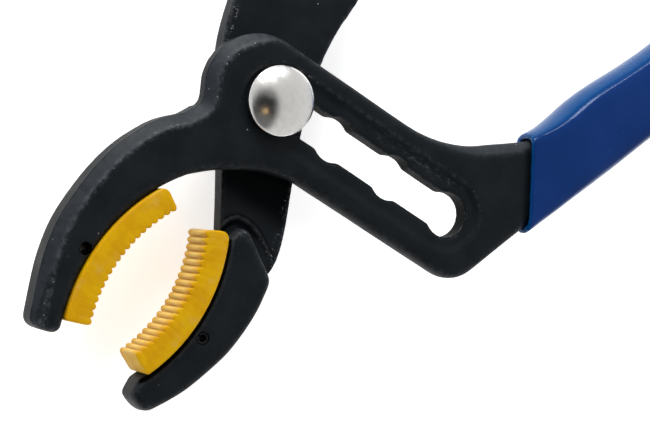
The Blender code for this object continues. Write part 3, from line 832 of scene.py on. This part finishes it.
class Paint:
    """A material's Principled shader, with short calls for the nodes that these materials use."""

    def __init__(self, name):
        self.material = bpy.data.materials.new(name)
        self.material.use_nodes = True
        self.tree = self.material.node_tree
        self.shader = self.tree.nodes["Principled BSDF"]
        self.place = self.node("ShaderNodeTexCoord").outputs["Object"]

    def node(self, kind, **settings):
        item = self.tree.nodes.new(kind)
        for setting, value in settings.items():
            setattr(item, setting, value)
        return item

    def feed(self, socket, value):
        if isinstance(value, bpy.types.NodeSocket):
            self.tree.links.new(value, socket)
        else:
            socket.default_value = value

    def set(self, **values):
        for name, value in values.items():
            self.feed(self.shader.inputs[name.replace("_", " ")], value)

    def stretched(self, factors, turn=0.0):
        """Coordinates that are drawn out along the object, for streaks."""
        mapping = self.node("ShaderNodeMapping")
        self.feed(mapping.inputs["Vector"], self.place)
        mapping.inputs["Scale"].default_value = factors
        mapping.inputs["Rotation"].default_value = (0, 0, math.radians(turn))
        return mapping.outputs["Vector"]

    def noise(self, size, detail=4.0, roughness=0.5, place=None):
        """Cloudy values from 0 to 1, with clouds of about a size in millimetres."""
        item = self.node("ShaderNodeTexNoise")
        self.feed(item.inputs["Vector"], place or self.place)
        item.inputs["Scale"].default_value = 1 / (size * MM)
        item.inputs["Detail"].default_value = detail
        item.inputs["Roughness"].default_value = roughness
        return item.outputs["Fac"]

    def cells(self, size, place=None):
        """Distance to the nearest of a set of random points, in units of the size."""
        item = self.node("ShaderNodeTexVoronoi")
        self.feed(item.inputs["Vector"], place or self.place)
        item.inputs["Scale"].default_value = 1 / (size * MM)
        return item.outputs["Distance"]

    def height_of_normal(self):
        """How far the surface faces up, from -1 to 1."""
        item = self.node("ShaderNodeSeparateXYZ")
        self.feed(item.inputs["Vector"], self.node("ShaderNodeNewGeometry").outputs["Normal"])
        return item.outputs["Z"]

    def stored(self, name):
        return self.node("ShaderNodeAttribute", attribute_name=name).outputs["Fac"]

    def math(self, operation, first, second=0.0):
        item = self.node("ShaderNodeMath", operation=operation)
        self.feed(item.inputs[0], first)
        self.feed(item.inputs[1], second)
        return item.outputs["Value"]

    def times(self, first, second):
        return self.math("MULTIPLY", first, second)

    def step(self, value, start, end, first=0.0, last=1.0):
        """Goes smoothly from first to last while a value goes from start to end."""
        item = self.node("ShaderNodeMapRange", interpolation_type="SMOOTHSTEP")
        self.feed(item.inputs["Value"], value)
        item.inputs["From Min"].default_value = start
        item.inputs["From Max"].default_value = end
        item.inputs["To Min"].default_value = first
        item.inputs["To Max"].default_value = last
        return item.outputs["Result"]

    def mix(self, share, first, second):
        item = self.node("ShaderNodeMix", data_type="RGBA")
        self.feed(item.inputs["Factor"], share)
        self.feed(item.inputs[6], first if isinstance(first, bpy.types.NodeSocket) else (*first, 1))
        self.feed(item.inputs[7], second if isinstance(second, bpy.types.NodeSocket) else (*second, 1))
        return item.outputs[2]

    def bump(self, height, depth, under=None):
        """A bump whose height of 1 stands for a depth in millimetres."""
        item = self.node("ShaderNodeBump")
        item.inputs["Distance"].default_value = depth * MM
        self.feed(item.inputs["Height"], height)
        if under:
            self.feed(item.inputs["Normal"], under)
        return item.outputs["Normal"]


def black_steel():
    """Black oxide on a forging: cloudy, fine-grained, rubbed lighter on its edges, with bright nicks, a
    painted sheen where it faces the light and painted shade in its slot, holes, hollows and gaps.
    """
    paint = Paint("black_steel_finish")
    oxide, thin_oxide = (0.0025, 0.0044, 0.0060), (0.0054, 0.0079, 0.0103)
    pale_grain, sheen_grey = (0.0105, 0.0145, 0.019), (0.022, 0.027, 0.033)
    shade_black, bare_steel = (0.0006, 0.0008, 0.001), (0.45, 0.45, 0.46)
    rubbed_edge, rubbed_line = (0.085, 0.093, 0.105), (0.16, 0.17, 0.18)
    wear = paint.stored("wear")
    clouds = paint.noise(9.0, 5.0, 0.6)
    grain = paint.noise(0.45, 6.0, 0.7)
    colour = paint.mix(paint.step(clouds, 0.35, 0.7), oxide, thin_oxide)
    colour = paint.mix(paint.step(grain, 0.45, 0.8, 0, 0.5), colour, pale_grain)
    drawn = paint.noise(1.6, 4.0, 0.6, paint.stretched((1, 1, 0.3)))
    # Painted sheen: a lighter grey, in streaks, where the forging faces the light.
    painted_sheen = paint.times(paint.stored("painted_sheen"), paint.step(drawn, 0.3, 0.7, 0.55, 1.0))
    colour = paint.mix(painted_sheen, colour, sheen_grey)
    # Painted shade: nearly black in the slot, the pin holes, the hollows and the gaps.
    colour = paint.mix(paint.times(paint.stored("painted_shade"), 0.85), colour, shade_black)
    rubbed = paint.times(wear, paint.step(paint.noise(1.3, 5.0, 0.75), 0.4, 0.68))
    colour = paint.mix(paint.times(rubbed, 0.6), colour, rubbed_edge)
    streaks = paint.noise(0.7, 5.0, 0.8, paint.stretched((0.35, 1, 1)))
    rub = paint.times(paint.stored("rub"), paint.step(streaks, 0.5, 0.72))
    colour = paint.mix(paint.times(rub, 0.35), colour, rubbed_line)
    near_edges = paint.times(paint.step(wear, 0.12, 0.5), paint.step(paint.noise(5.0, 2.0), 0.5, 0.62))
    nicks = paint.times(paint.step(paint.cells(0.9), 0.19, 0.09, 0, 0.55), near_edges)
    chips = paint.times(paint.step(paint.noise(0.55, 3.0, 0.7), 0.57, 0.66), paint.stored("chips"))
    chips = paint.times(chips, paint.step(paint.noise(2.4, 3.0), 0.46, 0.58, 0, 0.8))
    specks = paint.step(paint.cells(3.4), 0.05, 0.035)
    specks = paint.times(specks, paint.step(paint.noise(9.0, 2.0), 0.52, 0.6))
    bright = paint.math("MAXIMUM", paint.math("MAXIMUM", nicks, chips), paint.times(specks, 0.6))
    colour = paint.mix(bright, colour, bare_steel)
    paint.set(
        Base_Color=colour,
        Roughness=paint.step(paint.math("ADD", clouds, paint.times(grain, 0.5)), 0.4, 1.1, 0.42, 0.6),
        Specular_IOR_Level=paint.step(paint.stored("painted_shade"), 0, 1, 0.13, 0.03),
        Normal=paint.bump(grain, 0.035, paint.bump(paint.noise(3.0, 3.0), 0.12)),
    )
    return paint.material


def blue_vinyl():
    """Dipped vinyl: deep blue under a smooth gloss, a little uneven and dusty, with a painted highlight that
    makes its sides a brighter blue.
    """
    paint = Paint("blue_vinyl_finish")
    deep_blue, blue = (0.002, 0.023, 0.122), (0.005, 0.030, 0.150)
    lit_side_blue, dust_blue = (0.0, 0.052, 0.185), (0.3, 0.42, 0.7)
    colour = paint.mix(paint.step(paint.noise(16.0, 3.0), 0.3, 0.75), deep_blue, blue)
    tilt = paint.math("ABSOLUTE", paint.height_of_normal())
    # Painted highlight: faces that turn away from up are mixed towards a brighter, more saturated blue.
    colour = paint.mix(paint.step(tilt, 0.92, 0.35), colour, lit_side_blue)
    dust = paint.times(paint.step(paint.cells(1.9), 0.06, 0.035), paint.step(paint.noise(11.0), 0.5, 0.6))
    colour = paint.mix(paint.times(dust, 0.25), colour, dust_blue)
    paint.set(
        Base_Color=colour,
        Roughness=paint.step(paint.noise(5.0, 4.0), 0.3, 0.7, 0.12, 0.18),
        Specular_IOR_Level=0.15,
        Specular_Tint=(0.62, 0.75, 1.0, 1.0),
        Subsurface_Weight=0.08,
        Subsurface_Scale=0.6 * MM,
        Subsurface_Radius=(0.3, 0.5, 1.0),
        Normal=paint.bump(paint.noise(4.5, 3.0), 0.04, paint.bump(paint.noise(0.6, 3.0), 0.002)),
    )
    return paint.material


def yellow_nylon():
    """Moulded nylon: warm yellow with tan bruises, toothed faces made paler by a painted highlight, and
    darker valleys between the teeth.
    """
    paint = Paint("yellow_nylon_finish")
    yellow, warm_yellow, bruise = (0.61, 0.345, 0.0006), (0.56, 0.29, 0.0006), (0.56, 0.34, 0.07)
    highlit_teeth_yellow, valley_dark = (0.74, 0.52, 0.14), (0.40, 0.19, 0.03)
    clouds = paint.noise(5.0, 5.0, 0.6)
    colour = paint.mix(paint.step(clouds, 0.4, 0.62), yellow, warm_yellow)
    bruises = paint.step(paint.noise(3.6, 4.0, 0.6), 0.52, 0.72)
    colour = paint.mix(paint.times(bruises, 0.4), colour, bruise)
    # Painted highlight: the toothed faces are paler.
    colour = paint.mix(paint.times(paint.stored("teeth"), 0.8), colour, highlit_teeth_yellow)
    # Darker in the valleys between the teeth.
    colour = paint.mix(paint.times(paint.stored("valley"), 0.9), colour, valley_dark)
    paint.set(
        Base_Color=colour,
        Roughness=paint.step(clouds, 0.3, 0.7, 0.36, 0.5),
        Specular_IOR_Level=0.1,
        Subsurface_Weight=0.25,
        Subsurface_Scale=1.2 * MM,
        Subsurface_Radius=(1.0, 0.6, 0.15),
        Normal=paint.bump(paint.noise(0.8, 4.0, 0.6), 0.02, paint.bump(paint.noise(3.5, 3.0), 0.08)),
    )
    return paint.material


def nickel_plate(name, colour, roughest):
    """Bright plate with fine mottling and hairline marks."""
    paint = Paint(name)
    dulled = tuple(0.93 * share for share in colour)
    mottle = paint.noise(1.6, 5.0, 0.65)
    hairs = paint.noise(0.22, 4.0, 0.7, paint.stretched((1, 0.3, 1), 35))
    paint.set(
        Base_Color=paint.mix(paint.step(mottle, 0.3, 0.75), colour, dulled),
        Metallic=1.0,
        Roughness=paint.step(paint.math("ADD", mottle, paint.times(hairs, 0.3)), 0.4, 0.9, 0.15, roughest),
        Normal=paint.bump(mottle, 0.008, paint.bump(hairs, 0.004)),
    )
    return paint.material


def pin_with_shaded_bore(name, darker, lighter):
    """A blackened pin: dull steel on its end, and nearly black with painted shade down its sides and bore."""
    paint = Paint(name)
    grain = paint.noise(0.4, 4.0, 0.6)
    end = paint.mix(paint.step(grain, 0.35, 0.7), darker, lighter)
    # Painted shade: faces that don't face up, the sides and the bore, are mixed to nearly black.
    bore_shade = (0.0004, 0.0004, 0.0005)
    paint.set(
        Base_Color=paint.mix(paint.step(paint.height_of_normal(), 0.3, 0.8), bore_shade, end),
        Roughness=paint.step(grain, 0.3, 0.7, 0.5, 0.7),
        Specular_IOR_Level=paint.step(paint.height_of_normal(), 0.3, 0.8, 0.02, 0.12),
        Normal=paint.bump(grain, 0.01),
    )
    return paint.material


# ---------------------------------------------------------------- studio

ROOM = (0.75, 0.75, 0.76)
# Patches of the room: (direction, degrees where it starts, degrees where it is full, colour).
PATCHES = [
    ((0, 0, 1), 75, 20, (0.66, 0.66, 0.66)),
    ((-0.36, -0.06, 0.93), 30, 6, (0.28, 0.28, 0.28)),
    ((-0.25, -0.24, 0.93), 33, 10, (0.08, 0.08, 0.08)),
    ((-0.18, -0.43, 0.88), 36, 13, (0.015, 0.015, 0.018)),
    ((-0.08, -0.62, 0.78), 33, 10, (0.03, 0.03, 0.03)),
    ((0.02, -0.78, 0.62), 28, 6, (0.14, 0.14, 0.14)),
    ((-0.12, -0.47, 0.87), 6, 2, (1.3, 0.85, 0.38)),
]


FLOOR_SIZE = 6000
FLOOR_GAP = 0.5
LIT_PLACE = Vector((20, 10, 10))
CAMERA_LENS = 110
CAMERA_PLACE = Vector((-144.1, -103.85, 429.7))
CAMERA_TURNS = (-1.475, -24.695, 31.117)


def make_floor():
    """White paper under the pliers, which glows a little so that it stays white."""
    height = low("pivot_bolt") - FLOOR_GAP
    bpy.ops.mesh.primitive_plane_add(size=FLOOR_SIZE * MM, location=(0, 0, height * MM))
    floor = bpy.context.object
    floor.name = "floor"
    paint = Paint("floor_paper")
    paint.set(Base_Color=paint.mix(paint.noise(300.0), (0.93, 0.93, 0.93), (0.95, 0.95, 0.95)), Roughness=0.9)
    paint.set(Specular_IOR_Level=0.1, Emission_Color=(1, 1, 1, 1), Emission_Strength=0.6)
    floor.data.materials.append(paint.material)


def make_world():
    """A pale room that is dimmer overhead, with dark patches that the polished bolt head reflects."""
    world = bpy.data.worlds.new("studio")
    bpy.context.scene.world = world
    world.use_nodes = True
    nodes, links = world.node_tree.nodes, world.node_tree.links
    direction = nodes.new("ShaderNodeTexCoord").outputs["Generated"]
    colour = None
    for middle, start, full, patch in PATCHES:
        closeness = nodes.new("ShaderNodeVectorMath")
        closeness.operation = "DOT_PRODUCT"
        closeness.inputs[1].default_value = Vector(middle).normalized()
        links.new(direction, closeness.inputs[0])
        share = nodes.new("ShaderNodeMapRange")
        share.interpolation_type = "SMOOTHSTEP"
        share.inputs["From Min"].default_value = math.cos(math.radians(start))
        share.inputs["From Max"].default_value = math.cos(math.radians(full))
        links.new(closeness.outputs["Value"], share.inputs["Value"])
        mix = nodes.new("ShaderNodeMix")
        mix.data_type = "RGBA"
        links.new(share.outputs["Result"], mix.inputs["Factor"])
        mix.inputs[7].default_value = (*patch, 1)
        if colour:
            links.new(colour, mix.inputs[6])
        else:
            mix.inputs[6].default_value = (*ROOM, 1)
        colour = mix.outputs[2]
    links.new(colour, nodes["Background"].inputs["Color"])


def add_softbox(name, direction, distance, size, power, reflected=True, spread=True):
    """An oblong light that faces the pliers. It can be hidden from reflections, or show only in them."""
    light = bpy.data.lights.new(name, "AREA")
    light.shape = "RECTANGLE"
    light.size, light.size_y = size
    light.energy = power
    item = bpy.data.objects.new(name, light)
    bpy.context.scene.collection.objects.link(item)
    offset = Vector(direction).normalized() * distance
    item.location = LIT_PLACE * MM + offset
    item.rotation_euler = offset.to_track_quat("Z", "Y").to_euler()
    item.visible_glossy = reflected
    item.visible_diffuse = spread


def make_camera():
    camera = bpy.data.cameras.new("camera")
    camera.lens = CAMERA_LENS
    camera.clip_start = 0.01
    item = bpy.data.objects.new("camera", camera)
    bpy.context.scene.collection.objects.link(item)
    item.location = CAMERA_PLACE * MM
    item.rotation_euler = Euler([math.radians(angle) for angle in CAMERA_TURNS])
    bpy.context.scene.camera = item


steel = black_steel()
vinyl = blue_vinyl()
nylon = yellow_nylon()
plate = nickel_plate("nickel_finish", (0.80, 0.79, 0.76), roughest=0.26)
rear_pin_paint = pin_with_shaded_bore("rear_pin_finish", (0.006, 0.007, 0.008), (0.014, 0.016, 0.018))
# The sunk front pin is nearly black all over: painted shade for a pin down in its hole.
sunk = pin_with_shaded_bore("sunk_pin_shaded_finish", (0.0006, 0.0006, 0.0007), (0.002, 0.002, 0.002))

finishes = [
    (make_front_lever(), steel),
    (make_rear_lever(), steel),
    (make_grip("front", FRONT, FRONT_MOUTH), vinyl),
    (make_grip("rear", REAR, REAR_MOUTH), vinyl),
    (make_insert("front", FRONT, -1), nylon),
    (make_insert("rear", REAR, 1), nylon),
    (make_roll_pin("front", FRONT), sunk),
    (make_roll_pin("rear", REAR), rear_pin_paint),
    (make_bolt(), plate),
    (make_nut(), plate),
    (make_spring_washer(), plate),
    (make_lock_washer(), plate),
]
for item, finish in finishes:
    item.data.materials.clear()
    item.data.materials.append(finish)
    item.data.polygons.foreach_set("material_index", [0] * len(item.data.polygons))

make_floor()
make_world()
add_softbox("key", (-0.75, 0.80, 0.55), 0.9, (0.45, 0.4), 8)
add_softbox("fill", (0.8, -0.5, 0.6), 1.1, (0.6, 0.6), 3, reflected=False)
add_softbox("strip", (-0.42, 0.80, 0.45), 0.9, (0.6, 0.12), 4, spread=False)
make_camera()
bpy.context.scene.view_settings.view_transform = "Standard"
